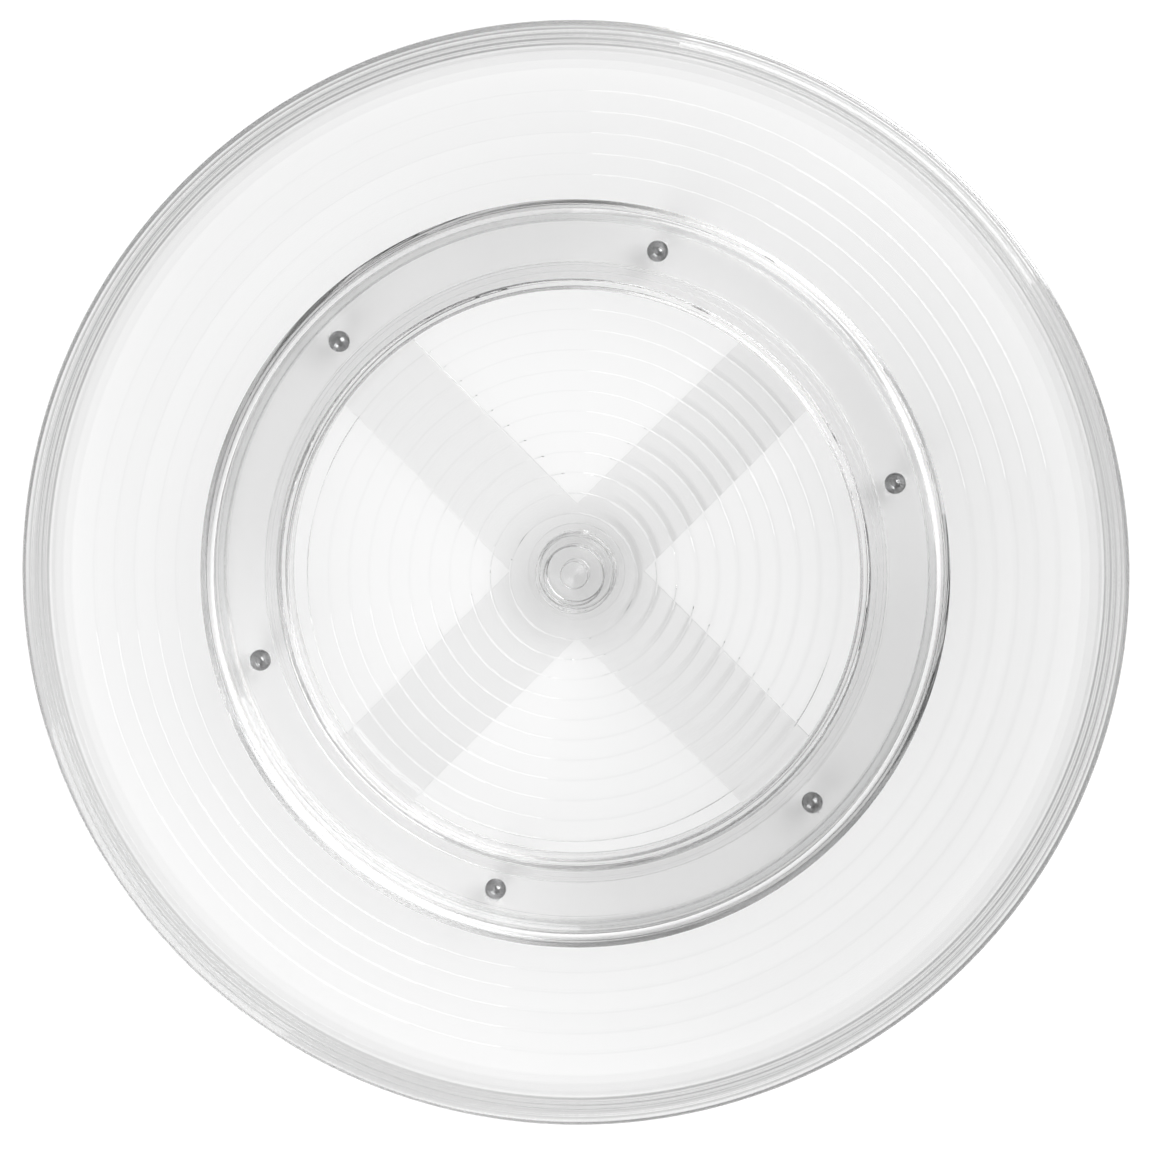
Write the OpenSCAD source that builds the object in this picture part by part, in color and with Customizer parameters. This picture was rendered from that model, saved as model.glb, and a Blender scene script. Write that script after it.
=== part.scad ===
// Low clear-plastic banding wheel: a stepped-rim tray that turns on six steel balls,
// over a four-armed base with a central pivot. The table surface is at z = 0.

/* [Tray] */
// Outside diameter of the tray, over its lip
tray_d = 280; // [276:1:292]
// Thickness of the tray's flat plate
plate_t = 3; // [2.5:0.1:3.5]
// Height of the lip above the plate
rim_h = 6; // [4:0.5:9]
// Number of small steps inside the rim
rim_steps = 3; // [2:1:3]
// Width of one step
step_w = 1.2; // [1:0.05:1.3]
// Rounding on the outside of the lip
lip_round = 1.8; // [1:0.1:2]

/* [Guide rings] */
// Distance from one guide ring to the next, inside the race
inner_guide_pitch = 5.15; // [5:0.05:5.2]
// Distance from one guide ring to the next, outside the race
outer_guide_pitch = 5.25; // [5:0.05:5.4]
// Width of a guide groove
guide_w = 0.5; // [0.3:0.05:0.8]
// Depth of a guide groove
guide_depth = 0.12; // [0.06:0.02:0.4]
// Radius of the first guide ring inside the race
inner_guide_r = 16.1; // [14:0.1:16.5]
// Number of guide rings inside the race
inner_guides = 11; // [6:1:11]
// Radius of the first guide ring outside the race
outer_guide_r = 101.5; // [100:0.5:104]
// Number of guide rings outside the race
outer_guides = 5; // [3:1:6]

/* [Race] */
// Radius of the circle that the balls run on
pitch_r = 84.8; // [84.6:0.1:85]
// Diameter of a ball
ball_d = 5.5; // [5:0.1:5.6]
// Number of balls
ball_count = 6; // [6:1:6]
// Angle of the first ball from the +X axis
first_ball_angle = 15.8; // [0:0.1:30]
// Gap left between a ball and each track
track_gap = 0.05; // [0.03:0.01:0.1]
// Gap left round a ball in its cage pocket
pocket_gap = 0.1; // [0.08:0.01:0.2]
// Height of the ribs below the plate
rib_h = 15; // [14:0.5:15]

/* [Base] */
// Thickness of the base's arms and ring
base_t = 3; // [2.8:0.1:3.2]
// Width of one arm
arm_w = 24.5; // [20:0.5:28]
// Number of arms
arm_count = 4; // [3:1:4]
// How far the grip ring stands out below the base
grip_stand = 0.8; // [0.5:0.1:1]

/* [Pivot] */
// Radius of the post in the middle of the tray
post_r = 7.4; // [7:0.1:7.8]
// Running clearance round the post, on the radius
post_gap = 0.08; // [0.05:0.01:0.1]
// Radius of the pivot pin
pin_r = 3.6; // [3:0.1:4]

/* [Hidden] */
$fn = 180;

// Heights, from the table up
base_z = grip_stand;
floor_z = base_z + base_t;
ball_z = floor_z + track_gap + ball_d / 2;
track_z = ball_z + ball_d / 2 + track_gap;
race_web_t = 2.5;
race_shoulder_h = 1.5;
plate_z = floor_z + 0.7 + rib_h;
top_z = plate_z + plate_t;
lip_z = top_z + rim_h;

// Tray rim
tray_r = tray_d / 2;
step_h = rim_h / rim_steps;
first_riser_r = tray_r - 2.7 - step_w * (rim_steps - 1);
rim_fillet = 1;
foot_r = tray_r - 7.5;
wall_top_z = lip_z - 2.6;

// Ribs, rings and walls round the race
rib_low_z = plate_z - rib_h;
inner_rib = [pitch_r - 11.4, pitch_r - 10.2];
outer_rib = [pitch_r + 8.35, pitch_r + 9.35];
inner_root = 0.75;
outer_root = 1.2;
root_slope = tan(52);
track_half_w = 5.3;
channel_wall_t = 1.7;
channel_wall_h = 4.4;
inner_wall_r = pitch_r - 6 - channel_wall_t;
outer_wall_r = pitch_r + 5.6;
flange = [pitch_r - 11.4, pitch_r + 9.6];
cage_half_w = 4.6;
cage_t = 2.4;
grip_r = [pitch_r + 5.8, pitch_r + 8.2];
grip_groove = 1;

// Hub and pivot
hub_r = 12.5;
hub_top_z = floor_z + 2.4;
bearing_r = post_r + post_gap;
bearing_wall_r = 10.1;
bearing_top_z = plate_z - 3.5;
washer_t = 0.8;
washer_r = bearing_wall_r - 0.8;
washer_z = base_z + 2.4;
post_z = washer_z + washer_t;
shoulder_z = post_z + 0.2;
recess_r = washer_r + 0.3;
head_t = 1.7;
head_r = washer_r - 0.7;
bore_top_z = plate_z - 3;
pin_dome_r = 5;
pin_top_z = bore_top_z - 0.3;

clear = [0.93, 0.95, 0.96, 0.35];
steel = [0.72, 0.73, 0.75];

// Points on an arc, from angle a to angle b
function arc(centre, r, a, b, n = 6) = [
    for (i = [0:n]) centre + r * [cos(a + (b - a) * i / n), sin(a + (b - a) * i / n)]
];

// Radius of the upright face of step k, counted from the plate
function riser_r(k) = first_riser_r + step_w * k;

// A flat ring or disc of rectangular section, between two radii
module band(radii, z, h) {
    translate([radii[0], z])
        square([radii[1] - radii[0], h]);
}

// Section of a rib below the plate, with a sloped root on both sides
module rib_section(rib, root) {
    root_z = plate_z - root * root_slope;
    polygon([
        [rib[0] - root, plate_z], [rib[0], root_z], [rib[0], rib_low_z],
        [rib[1], rib_low_z], [rib[1], root_z], [rib[1] + root, plate_z]
    ]);
}

// Section of the rim: sloped outer wall, rounded lip and the steps inside it
module rim_section() {
    wall = [[foot_r, plate_z], [tray_r, wall_top_z]];
    lip = arc([tray_r - lip_round, lip_z - lip_round], lip_round, 0, 90);
    steps = [
        for (k = [rim_steps - 1:-1:0])
            each [[riser_r(k) + 0.15, top_z + step_h * (k + 1)], [riser_r(k), top_z + step_h * k]]
    ];
    polygon(concat(wall, lip, steps, [[foot_r - 1, top_z], [foot_r - 1, plate_z]]));
}

// Small fillet where the first step meets the plate
module rim_fillet_section() {
    difference() {
        translate([first_riser_r - rim_fillet, top_z - 0.1])
            square([rim_fillet + 0.1, rim_fillet + 0.1]);
        translate([first_riser_r - rim_fillet, top_z + rim_fillet])
            circle(rim_fillet);
    }
}

module guide_groove(r) {
    translate([r, top_z])
        polygon([[-guide_w / 2, 0.01], [0, -guide_depth], [guide_w / 2, 0.01]]);
}

// Clear tray: plate, stepped rim, guide rings, two ribs round the race and the centre post
module tray() {
    color(clear)
        rotate_extrude()
            difference() {
                union() {
                    band([0, foot_r], plate_z, plate_t);
                    rim_section();
                    rim_fillet_section();
                    rib_section(inner_rib, inner_root);
                    rib_section(outer_rib, outer_root);
                    band([pin_r, post_r], post_z, plate_z - post_z);
                    band([0, post_r], bore_top_z, plate_z - bore_top_z);
                }
                for (i = [0:inner_guides - 1])
                    guide_groove(inner_guide_r + inner_guide_pitch * i);
                for (i = [0:outer_guides - 1])
                    guide_groove(outer_guide_r + outer_guide_pitch * i);
            }
}

// Clear ring held between the tray's ribs, whose flat underside is the upper ball track
module upper_race_ring() {
    web_top = track_z + race_web_t;
    shoulder = web_top + race_shoulder_h;
    color(clear)
        rotate_extrude()
            polygon([
                [inner_rib[1], track_z], [outer_rib[0], track_z],
                [outer_rib[0], shoulder], [pitch_r + track_half_w, shoulder],
                [pitch_r + track_half_w, web_top], [pitch_r - track_half_w, web_top],
                [pitch_r - track_half_w, shoulder], [inner_rib[1], shoulder]
            ]);
}

// Ring of the base: lower ball track between two low walls, with a groove for the grip ring
module base_ring_section() {
    difference() {
        union() {
            band(flange, base_z, base_t);
            band([inner_wall_r, inner_wall_r + channel_wall_t], base_z, base_t + channel_wall_h);
            band([outer_wall_r, outer_wall_r + channel_wall_t], base_z, base_t + channel_wall_h);
        }
        band(grip_r, base_z - 1, grip_groove + 1);
    }
}

module base_arm() {
    translate([0, -arm_w / 2, base_z])
        cube([flange[0] + 1, arm_w, base_t]);
}

// Clear base: hub with its bearing bore, four arms and the lower race ring
module base() {
    color(clear)
        difference() {
            union() {
                rotate_extrude()
                    base_ring_section();
                for (i = [0:arm_count - 1])
                    rotate(45 + 360 / arm_count * i)
                        base_arm();
                translate([0, 0, base_z])
                    cylinder(h = hub_top_z - base_z, r = hub_r);
                translate([0, 0, base_z])
                    cylinder(h = bearing_top_z - base_z, r = bearing_wall_r);
            }
            cylinder(h = bearing_top_z + 1, r = bearing_r);
            translate([0, 0, base_z - 1])
                cylinder(h = shoulder_z - base_z + 1, r = recess_r);
        }
}

module at_ball(i) {
    rotate(first_ball_angle + 360 / ball_count * (i - 1))
        translate([pitch_r, 0, ball_z])
            children();
}

// Clear flat ring that keeps the balls evenly spaced
module ball_cage() {
    color(clear)
        difference() {
            rotate_extrude()
                band([pitch_r - cage_half_w, pitch_r + cage_half_w], ball_z - cage_t / 2, cage_t);
            for (i = [1:ball_count])
                at_ball(i)
                    cylinder(h = ball_d, r = ball_d / 2 + pocket_gap, center = true);
        }
}

module ball(i) {
    color(steel)
        at_ball(i)
            sphere(d = ball_d);
}

// Clear headed pin with a domed end, pressed up into the tray's post from below
module pivot_pin() {
    dome = arc([0, pin_top_z - pin_dome_r], pin_dome_r, acos(pin_r / pin_dome_r), 90);
    color(clear)
        rotate_extrude()
            union() {
                polygon(concat([[0, washer_z], [pin_r, washer_z]], dome));
                band([0, head_r], washer_z - head_t, head_t);
            }
}

// Clear washer held against the post by the pin's head; it keeps the tray on the base
module pivot_washer() {
    color(clear)
        rotate_extrude()
            band([pin_r, washer_r], washer_z, washer_t);
}

// Soft clear ring in the groove under the base
module grip_ring() {
    color(clear)
        rotate_extrude()
            band(grip_r, 0, base_z + grip_groove);
}

tray();
upper_race_ring();
base();
ball_cage();
for (i = [1:ball_count])
    ball(i);
pivot_pin();
pivot_washer();
grip_ring();
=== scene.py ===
"""Clear banding wheel: detailed pieces, materials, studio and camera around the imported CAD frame."""
import math

import bpy
from mathutils import Matrix, Vector


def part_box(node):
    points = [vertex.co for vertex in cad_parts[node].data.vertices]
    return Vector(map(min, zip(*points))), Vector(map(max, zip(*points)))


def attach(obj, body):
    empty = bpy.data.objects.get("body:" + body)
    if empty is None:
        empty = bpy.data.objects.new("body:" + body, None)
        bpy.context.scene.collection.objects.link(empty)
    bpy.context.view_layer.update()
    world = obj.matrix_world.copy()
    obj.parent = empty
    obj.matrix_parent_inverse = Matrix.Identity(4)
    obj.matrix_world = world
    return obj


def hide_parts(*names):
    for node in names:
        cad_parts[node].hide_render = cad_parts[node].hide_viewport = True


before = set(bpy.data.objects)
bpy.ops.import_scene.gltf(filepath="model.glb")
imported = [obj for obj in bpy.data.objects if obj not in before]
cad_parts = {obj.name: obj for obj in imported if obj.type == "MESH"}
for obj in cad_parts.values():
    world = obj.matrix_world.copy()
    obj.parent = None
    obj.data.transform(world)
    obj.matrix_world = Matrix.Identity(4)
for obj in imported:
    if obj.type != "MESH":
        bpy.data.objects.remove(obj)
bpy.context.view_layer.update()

MM = 0.001

# ---------------------------------------------------------------- sizes, in millimetres
# Places that the frame gives: each is read from a CAD node's box.


def reach(node):
    """Largest radius that fits in a node's box, in mm."""
    low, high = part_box(node)
    return min(-low.x, -low.y, high.x, high.y) / MM


def level(node, end):
    """Lowest (end 0) or highest (end 1) level of a node, in mm."""
    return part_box(node)[end].z / MM


BALLS = sorted(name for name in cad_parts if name.startswith("ball_") and name != "ball_cage")
ball_low, ball_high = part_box(BALLS[0])
ball_centre = (ball_low + ball_high) / 2 / MM
BALL_R = (ball_high.z - ball_low.z) / 2 / MM
PITCH_R = math.hypot(ball_centre.x, ball_centre.y)

TRAY_R = reach("tray")
LIP_Z = level("tray", 1)
TRACK_Z = level("upper_race_ring", 0)
POST_Z = level("pivot_washer", 1)
BASE_Z = level("base", 0)
BEARING_TOP_Z = level("base", 1)
PIN_LOW_Z = level("pivot_pin", 0)
PIN_TOP_Z = level("pivot_pin", 1)
HEAD_R = reach("pivot_pin")
WASHER_R = reach("pivot_washer")
WASHER_Z = level("pivot_washer", 0)
CAGE_R = reach("ball_cage")
CAGE_LOW_Z = level("ball_cage", 0)
CAGE_TOP_Z = level("ball_cage", 1)
GRIP_OUT_R = reach("grip_ring")
GRIP_TOP_Z = level("grip_ring", 1)

# Sizes of details, the same as the CAD's.
RIM_H = 6.0
PLATE_T = 3.0
RIM_STEPS = 3
STEP_W = 1.2
TOP_Z = LIP_Z - RIM_H
PLATE_Z = TOP_Z - PLATE_T
STEP_H = RIM_H / RIM_STEPS
STEP_LEAN = 0.15        # how far each step's face leans outwards
LIP_TOP_W = 2.7
FIRST_RISER_R = TRAY_R - LIP_TOP_W - STEP_W * (RIM_STEPS - 1)
FOOT_R = TRAY_R - 7.5
WALL_DROP = 2.6         # from the lip's top to the top of the sloped wall
RIB_LOW_Z = PLATE_Z - 15
INNER_RIB = (PITCH_R - 11.4, PITCH_R - 10.2)
OUTER_RIB = (PITCH_R + 8.35, PITCH_R + 9.35)
INNER_ROOT = 0.75
OUTER_ROOT = 1.2
ROOT_SLOPE = math.tan(math.radians(52))
INNER_GUIDES = [16.1 + 5.15 * i for i in range(11)]
OUTER_GUIDES = [101.5 + 5.25 * i for i in range(5)]
GUIDE_W = 0.5
GUIDE_DEPTH = 0.12
POST_R = 7.4
BORE_R = 3.6
PRESS_GAP = 0.03        # gaps that keep the faces of touching pieces apart
FACE_GAP = 0.02
SIDE_GAP = 0.05
PIN_R = BORE_R - PRESS_GAP
WASHER_BORE_R = PIN_R + 0.1
PIN_DOME_R = 5.0
BORE_TOP_Z = PIN_TOP_Z + 0.3
TRACK_HALF_W = 5.3
RACE_WEB = 2.5
RACE_SHOULDER = 1.5
BASE_T = 3.0
FLOOR_Z = BASE_Z + BASE_T
FLANGE = (PITCH_R - 11.4, PITCH_R + 9.6)
WALL_T = 1.7
WALL_TOP_Z = FLOOR_Z + 4.4
INNER_WALL_R = PITCH_R - 6 - WALL_T
OUTER_WALL_R = PITCH_R + 5.6
GRIP_IN_R = PITCH_R + 5.8
GRIP_GROOVE = 1.0
ARM_W = 24.5
ARM_COUNT = 4
ARM_REACH = FLANGE[0] + 1.5
HUB_R = 12.5
HUB_TOP_Z = FLOOR_Z + 2.4
BEARING_R = POST_R + 0.08
BEARING_WALL_R = 10.1
RECESS_R = WASHER_R + 0.3
SHOULDER_Z = POST_Z + 0.2
CAGE_HALF_W = 4.6
POCKET_R = BALL_R + 0.1

# Roundings of corners: four general ones, then those of one place each.
CRISP = 0.1
FINE = 0.2
SOFT = 0.3
FULL = 0.4
GUIDE_ROUND = 0.08
GROOVE_ROUND = 0.15
STEP_ROUND = 0.25
ARM_ROUND = 0.35
ROOT_ROUND = 0.5
WALL_ROUND = 0.6
FILLET_R = 0.7
FOOT_ROUND = 1.0
LIP_ROUND = 1.8

# Straight pieces round one corner and along the pin's dome, and facets round each kind of piece.
CORNER_PIECES = 4
DOME_PIECES = 6
RING_AROUND = 360
RACE_AROUND = 288
HUB_AROUND = 144
BALL_AROUND = 48
BALL_FIT = 0.999        # a ball's share of its CAD radius
OVERSHOOT = 1.0         # how far a cutter stands past what it cuts

# ---------------------------------------------------------------- mesh tools


def corner(before, here, after, r, pieces):
    """Points and outward normals round one corner of an outline that runs anticlockwise."""
    u = (before - here).normalized()
    v = (after - here).normalized()
    out_u = Vector((-u.y, u.x))
    out_v = Vector((v.y, -v.x))
    turn = u.angle(v)
    if r <= 0 or turn > math.pi - 0.02:
        return [(here, (out_u + out_v).normalized())]
    run = r / math.tan(turn / 2)
    centre = here + (u + v).normalized() * r / math.sin(turn / 2)
    side = 1 if u.cross(v) < 0 else -1
    start, end = here + u * run - centre, here + v * run - centre
    sweep = start.angle_signed(end) * -1
    points = []
    for i in range(pieces + 1):
        spoke = Matrix.Rotation(sweep * i / pieces, 2) @ start
        points.append((centre + spoke, spoke.normalized() * side))
    return points


def rounded(outline):
    """Rounds the corners of an outline. Each item is (radius from the axis, level, corner radius)."""
    flat = [Vector(p[:2]) for p in outline]
    on_axis = flat[0].x == 0
    points = []
    for i, (x, z, r) in enumerate(outline):
        if on_axis and i in (0, len(outline) - 1):
            points.append((flat[i], Vector((0, -1 if i == 0 else 1))))
            continue
        pieces = CORNER_PIECES if r >= CRISP else 1
        points += corner(flat[i - 1], flat[i], flat[(i + 1) % len(flat)], r, pieces)
    return points, on_axis


def turned(name, outline, around):
    """A solid of revolution about Z from an anticlockwise outline in mm, with exact surface normals."""
    section, on_axis = rounded(outline)
    verts, normals, rows = [], [], []
    for p, n in section:
        if on_axis and p.x == 0:
            rows.append([len(verts)] * around)
            verts.append((0, 0, p.y * MM))
            normals.append((0, 0, n.y))
            continue
        rows.append(list(range(len(verts), len(verts) + around)))
        for j in range(around):
            c, s = math.cos(2 * math.pi * j / around), math.sin(2 * math.pi * j / around)
            verts.append((p.x * c * MM, p.x * s * MM, p.y * MM))
            normals.append((n.x * c, n.x * s, n.y))
    faces = []
    last = len(rows) - 1 if on_axis else len(rows)
    for i in range(last):
        a, b = rows[i], rows[(i + 1) % len(rows)]
        for j in range(around):
            k = (j + 1) % around
            ring = [a[j], a[k], b[k], b[j]]
            faces.append(list(dict.fromkeys(ring)))
    return solid(name, verts, faces, normals)


def solid(name, verts, faces, normals=None):
    """A smooth-shaded piece from its points and faces, in metres."""
    mesh = bpy.data.meshes.new(name)
    mesh.from_pydata([tuple(v) for v in verts], [], faces)
    mesh.shade_smooth()
    if normals is not None:
        mesh.normals_split_custom_set_from_vertices(normals)
    piece = bpy.data.objects.new(name, mesh)
    bpy.context.collection.objects.link(piece)
    return piece


def apply_modifiers(piece):
    """Makes the result of a piece's modifiers its mesh."""
    graph = bpy.context.evaluated_depsgraph_get()
    mesh = bpy.data.meshes.new_from_object(piece.evaluated_get(graph))
    piece.modifiers.clear()
    piece.data = mesh


def combine(piece, others, how):
    """Joins others to piece, or cuts them from it, as one clean solid."""
    for other in others:
        cut = piece.modifiers.new("combine", "BOOLEAN")
        cut.operation = how
        cut.solver = "EXACT"
        cut.object = other
        apply_modifiers(piece)
        bpy.data.objects.remove(other)


def even_normals(piece):
    """Keeps flat faces flat and lets only the small roundings shade smoothly."""
    piece.data.shade_smooth()
    weigh = piece.modifiers.new("even_normals", "WEIGHTED_NORMAL")
    weigh.mode = "FACE_AREA"
    weigh.weight = 100
    weigh.thresh = 0.001
    apply_modifiers(piece)


def bar(name, length, width, low, high, r, angle):
    """A straight bar through the axis with rounded long edges, turned by angle."""
    half = width / 2
    section, _ = rounded([(-half, low, r), (half, low, r), (half, high, r), (-half, high, r)])
    turn = Matrix.Rotation(angle, 3, "Z")
    n = len(section)
    verts = [turn @ Vector((x, p.x, p.y)) * MM for x in (-length, length) for p, _ in section]
    faces = [[i, (i + 1) % n, (i + 1) % n + n, i + n] for i in range(n)]
    faces += [list(range(n))[::-1], list(range(n, 2 * n))]
    return solid(name, verts, faces)


# ---------------------------------------------------------------- materials

CLEAR = (1, 1, 1)
TINT = (0.99, 0.99, 0.99)
RUBBER = (0.93, 0.94, 0.94)
DARK_STEEL = (0.28, 0.282, 0.286, 1)
LIGHT_STEEL = (0.35, 0.352, 0.356, 1)
LAP_SCALE = 900
PAPER = (0.93, 0.93, 0.93, 1)

PLASTIC_IOR = 1.49
GLOSS = 0.015           # roughness of the polished plastic, the washer and the rubber
WASHER_GLOSS = 0.08
RUBBER_GLOSS = 0.12
LAMP_SHARE = 0.975      # light that one surface lets through to what is behind it
TRAY_LAMP_SHARE = 0.94

# Turning marks and moulding ripple: strength, depth and scale.
MARKS = 0.05
RACE_MARKS = 0.06
MARK_DEPTH = 0.05 * MM
MARK_SCALE = 1 / MM
RIPPLE = 0.12
RIPPLE_DEPTH = 0.1 * MM
RIPPLE_SCALE = 35

# Sides of the wheel where painted shade is strongest, as azimuths in degrees from +X.
PAINTED_SHADE_SIDE = 132     # and the side across from it
GROOVE_SHADE_SIDE = 8
SHADED_SIDE = -20
# Painted shade along the guide grooves, on the tray and on the base's arms.
TRAY_GROOVE_SHADE = 0.025
BASE_GROOVE_SHADE = 0.14
GROOVE_SHADE_CORE = 0.2 * MM    # a ring of painted groove shade is full this far from its groove, and gone at its edge
GROOVE_SHADE_EDGE = 1.3 * MM
# Painted shade to one side of the tray, which stands in for the studio's reflection in the plate.
TRAY_SIDE_SHADE = 0.93
# Painted shadow round the hub.
TRAY_HUB_SHADOW = 0.87


def toward(azimuth, lean):
    """Direction at an azimuth from +X and a lean from straight up, in degrees."""
    a, t = math.radians(azimuth), math.radians(lean)
    return Vector((math.sin(t) * math.cos(a), math.sin(t) * math.sin(a), math.cos(t)))


def new_material(name):
    """A material with no nodes yet, its nodes and its links."""
    mat = bpy.data.materials.new(name)
    mat.use_nodes = True
    mat.node_tree.nodes.clear()
    return mat, mat.node_tree.nodes, mat.node_tree.links


def calc(nodes, links, kind, *values):
    """A maths node: each value is a number or the output of another node."""
    node = nodes.new("ShaderNodeMath")
    node.operation = kind
    for socket, value in zip(node.inputs, values):
        if isinstance(value, (int, float)):
            socket.default_value = value
        else:
            links.new(value, socket)
    return node.outputs[0]


def ramp_of(nodes, links, value, from_min, from_max, to_min, to_max):
    """A smooth ramp between two values."""
    ramp = nodes.new("ShaderNodeMapRange")
    ramp.interpolation_type = "SMOOTHSTEP"
    ramp.inputs["From Min"].default_value = from_min
    ramp.inputs["From Max"].default_value = from_max
    ramp.inputs["To Min"].default_value = to_min
    ramp.inputs["To Max"].default_value = to_max
    links.new(value, ramp.inputs["Value"])
    return ramp.outputs["Result"]


def dot_with(nodes, links, place, direction):
    """How far a vector points along a direction."""
    dot = nodes.new("ShaderNodeVectorMath")
    dot.operation = "DOT_PRODUCT"
    links.new(place, dot.inputs[0])
    dot.inputs[1].default_value = direction
    return dot.outputs["Value"]


def spot_nodes(nodes, links):
    """Position on the wheel, its distance from the axis, and its direction from the axis."""
    place = nodes.new("ShaderNodeTexCoord").outputs["Object"]
    flat = nodes.new("ShaderNodeVectorMath")
    flat.operation = "MULTIPLY"
    links.new(place, flat.inputs[0])
    flat.inputs[1].default_value = (1, 1, 0)
    radius = nodes.new("ShaderNodeVectorMath")
    radius.operation = "LENGTH"
    links.new(flat.outputs[0], radius.inputs[0])
    side = nodes.new("ShaderNodeVectorMath")
    side.operation = "NORMALIZE"
    links.new(flat.outputs[0], side.inputs[0])
    return place, radius.outputs["Value"], side.outputs[0]


def painted_bands(nodes, links, radius, side, bands):
    """Painted shade from the bands, which stands in for the grey that the plastic's edges give under the
    lamps, with its own strength to the north-west and south-east.

    Each band is (inner radius, outer radius, tone, tone to the north-west and south-east) in mm.
    """
    across = calc(nodes, links, "ABSOLUTE", dot_with(nodes, links, side, toward(PAINTED_SHADE_SIDE, 90)))
    across = ramp_of(nodes, links, across, 0.45, 0.9, 0.0, 1.0)
    tone = 1.0
    for low, high, plain, crossed in bands:
        inside = calc(nodes, links, "COMPARE", radius, (low + high) / 2 * MM, (high - low) / 2 * MM)
        change = calc(nodes, links, "MULTIPLY_ADD", across, crossed - plain, plain - 1)
        band = calc(nodes, links, "MULTIPLY_ADD", inside, change, 1.0)
        tone = calc(nodes, links, "MULTIPLY", tone, band)
    return tone


def painted_groove_shade(nodes, links, radius, side, strongest):
    """Painted shade along the guide grooves: soft darker arcs that stand in for the grooves' shadows and
    reflections, strongest to one side of the wheel.
    """
    facing = dot_with(nodes, links, side, toward(GROOVE_SHADE_SIDE, 90))
    amount = ramp_of(nodes, links, facing, 0.4, 0.95, 0.0, strongest)
    tone = 1.0
    for guides in (INNER_GUIDES, OUTER_GUIDES):
        pitch = guides[1] - guides[0]
        turn = calc(nodes, links, "WRAP", radius, (guides[0] + pitch / 2) * MM, (guides[0] - pitch / 2) * MM)
        away = calc(nodes, links, "ABSOLUTE", calc(nodes, links, "SUBTRACT", turn, guides[0] * MM))
        on_ring = ramp_of(nodes, links, away, GROOVE_SHADE_CORE, GROOVE_SHADE_EDGE, 1.0, 0.0)
        middle, half = (guides[0] + guides[-1]) / 2, (guides[-1] - guides[0] + pitch) / 2
        in_zone = calc(nodes, links, "COMPARE", radius, middle * MM, half * MM)
        groove_shade = calc(nodes, links, "MULTIPLY", amount, calc(nodes, links, "MULTIPLY", on_ring, in_zone))
        tone = calc(nodes, links, "MULTIPLY", tone, calc(nodes, links, "SUBTRACT", 1.0, groove_shade))
    return tone


def painted_shading(nodes, links, radius, side, bands, groove_shade, side_shade, hub_shadow):
    """Painted shade on the plastic: its bands, painted shade along its grooves, painted shade to one side and
    a painted shadow round the hub.
    """
    tone = painted_bands(nodes, links, radius, side, bands)
    # painted shade along the guide grooves
    if groove_shade:
        tone = calc(nodes, links, "MULTIPLY", tone, painted_groove_shade(nodes, links, radius, side, groove_shade))
    # painted shade, darker towards one side of the wheel
    side_shading = ramp_of(nodes, links, dot_with(nodes, links, side, toward(SHADED_SIDE, 90)), 0.1, 0.9, 1.0, side_shade)
    # painted shadow round the hub, darker towards the middle
    middle = ramp_of(nodes, links, radius, HUB_R * 0.8 * MM, HUB_R * 2 * MM, hub_shadow, 1.0)
    tone = calc(nodes, links, "MULTIPLY", tone, side_shading)
    return calc(nodes, links, "MULTIPLY", tone, middle)


def moulded_normal(nodes, links, place, radius, marks):
    """Surface normal with concentric turning marks and a faint moulding ripple."""
    mark = nodes.new("ShaderNodeTexNoise")
    mark.noise_dimensions = "1D"
    mark.inputs["Scale"].default_value = MARK_SCALE
    mark.inputs["Detail"].default_value = 0.0
    links.new(radius, mark.inputs["W"])
    wave = nodes.new("ShaderNodeTexNoise")
    wave.inputs["Scale"].default_value = RIPPLE_SCALE
    wave.inputs["Detail"].default_value = 0.0
    links.new(place, wave.inputs["Vector"])
    fine = nodes.new("ShaderNodeBump")
    fine.inputs["Strength"].default_value = marks
    fine.inputs["Distance"].default_value = MARK_DEPTH
    links.new(mark.outputs["Fac"], fine.inputs["Height"])
    broad = nodes.new("ShaderNodeBump")
    broad.inputs["Strength"].default_value = RIPPLE
    broad.inputs["Distance"].default_value = RIPPLE_DEPTH
    links.new(wave.outputs["Fac"], broad.inputs["Height"])
    links.new(fine.outputs[0], broad.inputs["Normal"])
    return broad.outputs[0]


def clear_plastic(name, colour, gloss=GLOSS, marks=MARKS, share=LAMP_SHARE,
                  bands=(), groove_shade=0, side_shade=1.0, hub_shadow=1.0):
    """Clear moulded plastic: glass-like, with painted shade only if it has bands."""
    mat, nodes, links = new_material(name)
    out = nodes.new("ShaderNodeOutputMaterial")
    body = nodes.new("ShaderNodeBsdfPrincipled")
    body.inputs["Base Color"].default_value = (*colour, 1)
    body.inputs["Roughness"].default_value = gloss
    body.inputs["IOR"].default_value = PLASTIC_IOR
    body.inputs["Transmission Weight"].default_value = 1.0
    place, radius, side = spot_nodes(nodes, links)
    if bands:
        shade = nodes.new("ShaderNodeMix")
        shade.data_type = "RGBA"
        shade.inputs["A"].default_value = (0, 0, 0, 1)
        shade.inputs["B"].default_value = (*colour, 1)
        links.new(painted_shading(nodes, links, radius, side, bands, groove_shade, side_shade, hub_shadow), shade.inputs["Factor"])
        links.new(shade.outputs["Result"], body.inputs["Base Color"])
    links.new(moulded_normal(nodes, links, place, radius, marks), body.inputs["Normal"])
    links.new(let_lamps_through(nodes, links, body.outputs[0], share), out.inputs["Surface"])
    return mat


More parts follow.
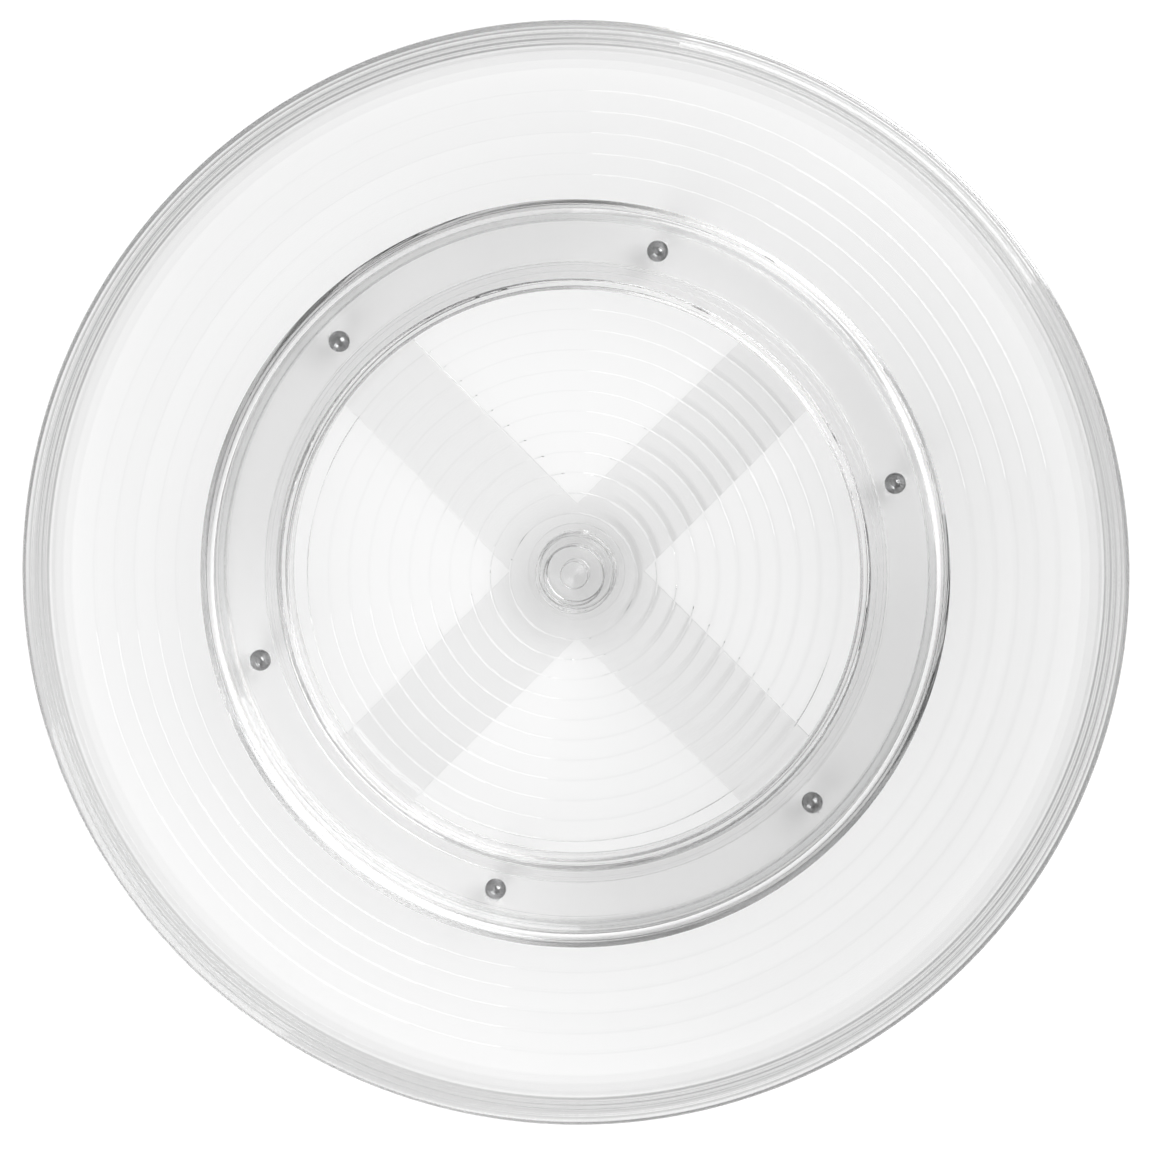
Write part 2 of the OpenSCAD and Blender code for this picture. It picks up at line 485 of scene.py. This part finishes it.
def let_lamps_through(nodes, links, shader, share):
    """Lamps and the studio's fill light reach what is behind the plastic, a little dimmed at each surface."""
    path = nodes.new("ShaderNodeLightPath")
    either = calc(nodes, links, "MAXIMUM", path.outputs["Is Shadow Ray"], path.outputs["Is Diffuse Ray"])
    clear = nodes.new("ShaderNodeBsdfTransparent")
    clear.inputs["Color"].default_value = (share, share, share, 1)
    mix = nodes.new("ShaderNodeMixShader")
    links.new(either, mix.inputs["Fac"])
    links.new(shader, mix.inputs[1])
    links.new(clear.outputs[0], mix.inputs[2])
    return mix.outputs[0]


def polished_steel(name):
    """Bearing steel: bright, with faint lapping marks in its tone and its roughness."""
    mat, nodes, links = new_material(name)
    out = nodes.new("ShaderNodeOutputMaterial")
    body = nodes.new("ShaderNodeBsdfPrincipled")
    body.inputs["Metallic"].default_value = 1.0
    place = nodes.new("ShaderNodeTexCoord")
    lap = nodes.new("ShaderNodeTexNoise")
    lap.inputs["Scale"].default_value = LAP_SCALE
    lap.inputs["Detail"].default_value = 3.0
    links.new(place.outputs["Object"], lap.inputs["Vector"])
    rough = nodes.new("ShaderNodeMapRange")
    rough.inputs["To Min"].default_value = 0.03
    rough.inputs["To Max"].default_value = 0.08
    links.new(lap.outputs["Fac"], rough.inputs["Value"])
    links.new(rough.outputs[0], body.inputs["Roughness"])
    tone = nodes.new("ShaderNodeMix")
    tone.data_type = "RGBA"
    tone.inputs["A"].default_value = DARK_STEEL
    tone.inputs["B"].default_value = LIGHT_STEEL
    links.new(lap.outputs["Fac"], tone.inputs["Factor"])
    links.new(tone.outputs["Result"], body.inputs["Base Color"])
    links.new(body.outputs[0], out.inputs["Surface"])
    return mat


def wear(piece, mat, body, slot, *nodes):
    """Gives a piece its material and its body, in place of the CAD nodes named."""
    piece.data.materials.clear()
    piece.data.materials.append(mat)
    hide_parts(*nodes)
    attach(piece, body)


# ---------------------------------------------------------------- pieces


def guide_points(radii):
    """Outline points of the guide grooves, from the outermost in."""
    points = []
    for r in sorted(radii, reverse=True):
        points.append((r + GUIDE_W / 2, TOP_Z, GUIDE_ROUND))
        points.append((r, TOP_Z - GUIDE_DEPTH, GUIDE_ROUND))
        points.append((r - GUIDE_W / 2, TOP_Z, GUIDE_ROUND))
    return points


def rib_points(rib, root):
    """Outline points of a rib below the plate, with a sloped root on both sides."""
    root_z = PLATE_Z - root * ROOT_SLOPE
    return [
        (rib[0] - root, PLATE_Z, CRISP), (rib[0], root_z, CRISP), (rib[0], RIB_LOW_Z, SOFT),
        (rib[1], RIB_LOW_Z, SOFT), (rib[1], root_z, CRISP), (rib[1] + root, PLATE_Z, CRISP),
    ]


def make_tray():
    """Plate with its stepped rim, guide grooves, two ribs and centre post, as one turned solid."""
    steps = []
    for k in range(RIM_STEPS - 1, -1, -1):
        riser = FIRST_RISER_R + STEP_W * k
        steps.append((riser + STEP_LEAN, TOP_Z + STEP_H * (k + 1), STEP_ROUND))
        steps.append((riser, TOP_Z + STEP_H * k, FILLET_R if k == 0 else SOFT))
    outline = [
        (0, BORE_TOP_Z, 0), (BORE_R, BORE_TOP_Z, SOFT), (BORE_R, POST_Z, CRISP), (POST_R, POST_Z, FULL),
        (POST_R, PLATE_Z, ROOT_ROUND),
        *rib_points(INNER_RIB, INNER_ROOT), *rib_points(OUTER_RIB, OUTER_ROOT),
        (FOOT_R, PLATE_Z, FOOT_ROUND), (TRAY_R, LIP_Z - WALL_DROP, WALL_ROUND),
        (TRAY_R - FACE_GAP, LIP_Z, LIP_ROUND),
        *steps, *guide_points(OUTER_GUIDES), *guide_points(INNER_GUIDES), (0, TOP_Z, 0),
    ]
    return turned("tray_shell", outline, RING_AROUND)


def make_upper_race_ring():
    """Flat ring between the ribs, with a low shoulder along each of them."""
    out, inside = OUTER_RIB[0] - SIDE_GAP, INNER_RIB[1] + SIDE_GAP
    low, high = PITCH_R - TRACK_HALF_W, PITCH_R + TRACK_HALF_W
    web = TRACK_Z + RACE_WEB
    shoulder = web + RACE_SHOULDER
    outline = [
        (inside, TRACK_Z, FINE), (out, TRACK_Z, FINE), (out, shoulder, FINE), (high, shoulder, FINE),
        (high, web, FINE), (low, web, FINE), (low, shoulder, FINE), (inside, shoulder, FINE),
    ]
    return turned("upper_race_dish", outline, RACE_AROUND)


def make_base():
    """Ring with the lower track, four arms and the hub with its bearing bore, as one solid."""
    wall_in, wall_out = INNER_WALL_R + WALL_T, OUTER_WALL_R + WALL_T
    groove_z = BASE_Z + GRIP_GROOVE
    ring = turned("base_frame", [
        (FLANGE[0], BASE_Z, SOFT), (GRIP_IN_R, BASE_Z, GROOVE_ROUND), (GRIP_IN_R, groove_z, GROOVE_ROUND),
        (GRIP_OUT_R, groove_z, GROOVE_ROUND), (GRIP_OUT_R, BASE_Z, GROOVE_ROUND), (FLANGE[1], BASE_Z, SOFT),
        (FLANGE[1], FLOOR_Z, SOFT), (wall_out, FLOOR_Z, SOFT), (wall_out, WALL_TOP_Z, FULL),
        (OUTER_WALL_R, WALL_TOP_Z, FULL), (OUTER_WALL_R, FLOOR_Z, SOFT), (wall_in, FLOOR_Z, SOFT),
        (wall_in, WALL_TOP_Z, FULL), (INNER_WALL_R, WALL_TOP_Z, FULL), (INNER_WALL_R, FLOOR_Z, SOFT),
        (FLANGE[0], FLOOR_Z, SOFT),
    ], RING_AROUND)
    hub = turned("hub", [
        (RECESS_R, BASE_Z, FINE), (HUB_R, BASE_Z, FINE), (HUB_R, HUB_TOP_Z, FULL),
        (BEARING_WALL_R, HUB_TOP_Z, ROOT_ROUND), (BEARING_WALL_R, BEARING_TOP_Z, FULL),
        (BEARING_R, BEARING_TOP_Z, FULL), (BEARING_R, SHOULDER_Z, FINE), (RECESS_R, SHOULDER_Z, FINE),
    ], HUB_AROUND)
    middle_r, low_z, top_z = RECESS_R + 1, BASE_Z - OVERSHOOT, FLOOR_Z + OVERSHOOT
    middle = turned("middle", [
        (0, low_z, 0), (middle_r, low_z, CRISP), (middle_r, top_z, CRISP), (0, top_z, 0),
    ], HUB_AROUND)
    arms = []
    for i in range(ARM_COUNT // 2):
        angle = math.radians(45 + 360 / ARM_COUNT * i)
        arms.append(bar("arm", ARM_REACH, ARM_W, BASE_Z, FLOOR_Z, ARM_ROUND, angle))
    combine(arms[0], arms[1:], "UNION")
    combine(arms[0], [middle], "DIFFERENCE")
    combine(ring, [arms[0], hub], "UNION")
    even_normals(ring)
    return ring


def make_cage():
    """Flat ring with a round pocket for each ball."""
    cage = turned("cage_ring", [
        (PITCH_R - CAGE_HALF_W, CAGE_LOW_Z, SOFT), (CAGE_R, CAGE_LOW_Z, SOFT),
        (CAGE_R, CAGE_TOP_Z, SOFT), (PITCH_R - CAGE_HALF_W, CAGE_TOP_Z, SOFT),
    ], RING_AROUND)
    low_z, top_z = CAGE_LOW_Z - OVERSHOOT, CAGE_TOP_Z + OVERSHOOT
    for name in BALLS:
        low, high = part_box(name)
        spot = (low + high) / 2
        hole = turned("hole", [
            (0, low_z, 0), (POCKET_R, low_z, CRISP), (POCKET_R, top_z, CRISP), (0, top_z, 0),
        ], BALL_AROUND)
        hole.location = (spot.x, spot.y, 0)
        bpy.context.view_layer.update()
        combine(cage, [hole], "DIFFERENCE")
    even_normals(cage)
    return cage


def make_ball(node):
    """A steel ball where its CAD sphere is, a hair smaller so that it stays inside it."""
    low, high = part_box(node)
    r = BALL_R * BALL_FIT
    half = BALL_AROUND // 2
    section = [(0, -r, 0)]
    for i in range(1, half):
        angle = math.pi * i / half
        section.append((r * math.sin(angle), -r * math.cos(angle), 0))
    section.append((0, r, 0))
    piece = turned(node.replace("ball", "steel_ball"), section, BALL_AROUND)
    piece.data.transform(Matrix.Translation((low + high) / 2))
    return piece


def make_pin():
    """Headed pin with a domed end."""
    rise = PIN_DOME_R - math.sqrt(PIN_DOME_R**2 - PIN_R**2)
    dome = []
    for i in range(DOME_PIECES):
        out = 1 - i / DOME_PIECES
        dome.append((PIN_R * out, PIN_TOP_Z - rise * out**2, CRISP))
    head_top_z = WASHER_Z - FACE_GAP
    return turned("pivot_rivet", [
        (0, PIN_LOW_Z, 0), (HEAD_R, PIN_LOW_Z, ROOT_ROUND), (HEAD_R, head_top_z, SOFT),
        (PIN_R, head_top_z, CRISP), *dome, (0, PIN_TOP_Z, 0),
    ], HUB_AROUND)


def make_washer():
    """Flat washer between the pin's head and the tray's post."""
    top_z = POST_Z - FACE_GAP
    return turned("hub_washer", [
        (WASHER_BORE_R, WASHER_Z, CRISP), (WASHER_R, WASHER_Z, FINE), (WASHER_R, top_z, FINE),
        (WASHER_BORE_R, top_z, CRISP),
    ], HUB_AROUND)


def make_grip_ring():
    """Soft ring that stands out below the base."""
    inside, out, top_z = GRIP_IN_R + SIDE_GAP, GRIP_OUT_R - SIDE_GAP, GRIP_TOP_Z - PRESS_GAP
    return turned("grip_band", [
        (inside, 0, FULL), (out, 0, FULL), (out, top_z, FINE), (inside, top_z, FINE),
    ], RING_AROUND)


# ---------------------------------------------------------------- bands of painted shade, and what each piece wears
# A band of painted shade stands in for the grey that the plastic's edges and steps give under the lamps:
# (inner radius, outer radius, tone, tone to the north-west and south-east).

LIP_W = 1.6
RIM_IN_R = FIRST_RISER_R - 0.9
RISER_LINE = (-0.95, -0.35)  # where the painted dark line at each riser starts and ends, from the riser
FOOT_OUT_R = FOOT_R + 0.9
TRAY_SHADE_BANDS = [
    (-1, POST_R, 1.0, 0.98),
    (INNER_RIB[0] - INNER_ROOT, INNER_RIB[1] + INNER_ROOT, 1.0, 0.88),
    (OUTER_RIB[0] - OUTER_ROOT, OUTER_RIB[1], 1.0, 0.66),
    (INNER_GUIDES[0], INNER_RIB[0] - INNER_ROOT, 0.985, 0.985),
    (OUTER_RIB[1] + OUTER_ROOT, RIM_IN_R, 0.93, 0.94),
    (RIM_IN_R, TRAY_R - LIP_W, 0.66, 0.80),
    (TRAY_R - LIP_W, TRAY_R + 1, 0.7, 1.0),
    (OUTER_GUIDES[2], RIM_IN_R, 0.984, 0.984),
    (FOOT_R - 4.3, FOOT_OUT_R, 0.957, 0.957),
    (FOOT_R - 2.1, FOOT_OUT_R, 0.94, 0.94),
]
for k in range(RIM_STEPS + 1):
    riser = FIRST_RISER_R + STEP_W * k
    TRAY_SHADE_BANDS.append((riser + RISER_LINE[0], riser + RISER_LINE[1], 1.0, 0.62))
TRACK_IN_R, TRACK_OUT_R = PITCH_R - TRACK_HALF_W, PITCH_R + TRACK_HALF_W
RACE_SHADE_BANDS = [
    (INNER_RIB[0], TRACK_IN_R, 0.93, 0.80),
    (TRACK_IN_R, TRACK_OUT_R, 1.0, 0.88),
    (TRACK_OUT_R, OUTER_RIB[1], 0.93, 0.76),
]
BASE_SHADE_BANDS = [(-1, HUB_R, 0.93, 0.93), (HUB_R, FLANGE[0], 0.95, 0.95)]

tray_plastic = clear_plastic(
    "tray_plastic", TINT, share=TRAY_LAMP_SHARE,
    bands=TRAY_SHADE_BANDS, groove_shade=TRAY_GROOVE_SHADE, side_shade=TRAY_SIDE_SHADE, hub_shadow=TRAY_HUB_SHADOW,
)
race_plastic = clear_plastic("race_plastic", CLEAR, marks=RACE_MARKS, share=1.0, bands=RACE_SHADE_BANDS)
base_plastic = clear_plastic("base_plastic", TINT, bands=BASE_SHADE_BANDS, groove_shade=BASE_GROOVE_SHADE)
cage_plastic = clear_plastic("cage_plastic", CLEAR, share=1.0)
pin_plastic = clear_plastic("pin_plastic", TINT)
washer_plastic = clear_plastic("washer_plastic", TINT, gloss=WASHER_GLOSS)
grip_rubber = clear_plastic("grip_rubber", RUBBER, gloss=RUBBER_GLOSS)
ball_steel = polished_steel("ball_steel")

wear(make_tray(), tray_plastic, "tray", "tray_plastic", "tray")
wear(make_upper_race_ring(), race_plastic, "tray", "race_plastic", "upper_race_ring")
wear(make_base(), base_plastic, "base", "base_plastic", "base")
wear(make_cage(), cage_plastic, "cage", "cage_plastic", "ball_cage")
for node in BALLS:
    wear(make_ball(node), ball_steel, node, "ball_steel", node)
wear(make_pin(), pin_plastic, "tray", "pin_plastic", "pivot_pin")
wear(make_washer(), washer_plastic, "tray", "washer_plastic", "pivot_washer")
wear(make_grip_ring(), grip_rubber, "base", "grip_rubber", "grip_ring")

# ---------------------------------------------------------------- studio and camera, in metres

FLOOR_HALF = 4.0
BOX_DISTANCE = 1.6

# Brightness of the studio's parts.
CEILING_DIM, CEILING_BRIGHT = 0.25, 0.95
CARD_DIM, CARD_BRIGHT = 0.42, 0.8
WALL = 0.5
OPENING = 0.1
BACKDROP = 0.9

# Where they are, as azimuths from +X and leans from straight up, in degrees.
CEILING_SIDE = 215
CARD_SIDE = 42
OPENING_AT = toward(-59, 46)

CAMERA_AWAY = toward(58, 5.4)
CAMERA_DISTANCE = 1.1
CAMERA_TARGET = Vector((0.0003, 0.0002, 0.020))
CAMERA_LENS = 135.5165  # in millimetres, on a sensor 36 mm wide
CAMERA_SENSOR = 36.0


def add_floor():
    """Pale paper under the wheel."""
    half = FLOOR_HALF
    corners = [(-half, -half, 0), (half, -half, 0), (half, half, 0), (-half, half, 0)]
    mesh = bpy.data.meshes.new("floor")
    mesh.from_pydata(corners, [], [[0, 1, 2, 3]])
    floor = bpy.data.objects.new("floor", mesh)
    bpy.context.collection.objects.link(floor)
    mat, nodes, links = new_material("floor_paper")
    out = nodes.new("ShaderNodeOutputMaterial")
    paper = nodes.new("ShaderNodeBsdfDiffuse")
    paper.inputs["Color"].default_value = PAPER
    links.new(paper.outputs[0], out.inputs["Surface"])
    mesh.materials.append(mat)


def add_softbox(name, azimuth, lean, side, radiance):
    """A square area lamp that faces the wheel: azimuth from +X, lean from straight up, in degrees."""
    away = toward(azimuth, lean)
    lamp = bpy.data.lights.new(name, "AREA")
    lamp.shape = "SQUARE"
    lamp.size = side
    lamp.energy = radiance * side * side * math.pi
    box = bpy.data.objects.new(name, lamp)
    box.location = away * BOX_DISTANCE
    box.rotation_mode = "QUATERNION"
    box.rotation_quaternion = away.to_track_quat("Z", "Y")
    bpy.context.collection.objects.link(box)


def add_world():
    """A grey studio: a two-toned ceiling, cards low on two sides, one dark opening and a pale backdrop."""
    world = bpy.data.worlds.new("studio")
    bpy.context.scene.world = world
    world.use_nodes = True
    nodes, links = world.node_tree.nodes, world.node_tree.links
    back = nodes["Background"]
    back.inputs["Color"].default_value = (1, 1, 1, 1)
    view = nodes.new("ShaderNodeTexCoord").outputs["Generated"]
    height = dot_with(nodes, links, view, (0, 0, 1))

    along = dot_with(nodes, links, view, toward(CEILING_SIDE, 90))
    ceiling = ramp_of(nodes, links, along, -0.2, 0.2, CEILING_DIM, CEILING_BRIGHT)
    overhead = ramp_of(nodes, links, height, 0.80, 0.95, 0.0, 1.0)
    sideways = calc(nodes, links, "ABSOLUTE", dot_with(nodes, links, view, toward(CARD_SIDE, 90)))
    cards = ramp_of(nodes, links, sideways, 0.5, 0.85, CARD_DIM, CARD_BRIGHT)
    low = ramp_of(nodes, links, height, 0.25, 0.5, 1.0, 0.0)
    walls = calc(nodes, links, "MULTIPLY_ADD", calc(nodes, links, "SUBTRACT", cards, WALL), low, WALL)
    grey = calc(nodes, links, "MULTIPLY_ADD", calc(nodes, links, "SUBTRACT", ceiling, walls), overhead, walls)
    opening = ramp_of(nodes, links, dot_with(nodes, links, view, OPENING_AT), 0.80, 0.94, 1.0, OPENING)
    grey = calc(nodes, links, "MULTIPLY", grey, opening)

    seen = nodes.new("ShaderNodeLightPath").outputs["Is Camera Ray"]
    change = calc(nodes, links, "SUBTRACT", BACKDROP, grey)
    links.new(calc(nodes, links, "MULTIPLY_ADD", change, seen, grey), back.inputs["Strength"])


def add_camera():
    """Nearly overhead, as the wheel was photographed."""
    right = Vector((0, 1, 0)).cross(CAMERA_AWAY).normalized()
    up = CAMERA_AWAY.cross(right)
    data = bpy.data.cameras.new("camera")
    data.sensor_width = CAMERA_SENSOR
    data.lens = CAMERA_LENS
    data.clip_start, data.clip_end = 0.01, 50
    camera = bpy.data.objects.new("camera", data)
    turn = Matrix((right, up, CAMERA_AWAY)).transposed().to_4x4()
    camera.matrix_world = Matrix.Translation(CAMERA_TARGET + CAMERA_AWAY * CAMERA_DISTANCE) @ turn
    bpy.context.collection.objects.link(camera)
    bpy.context.scene.camera = camera


add_floor()
add_softbox("softbox_ne", 35, 47, 1.25, 4.0)
add_softbox("softbox_sw", 236, 57, 1.2, 3.9)
add_world()
add_camera()

scene = bpy.context.scene
scene.view_settings.view_transform = "Standard"
scene.cycles.max_bounces = 24
scene.cycles.transmission_bounces = 20
scene.cycles.glossy_bounces = 8
scene.cycles.diffuse_bounces = 2
scene.cycles.transparent_max_bounces = 32
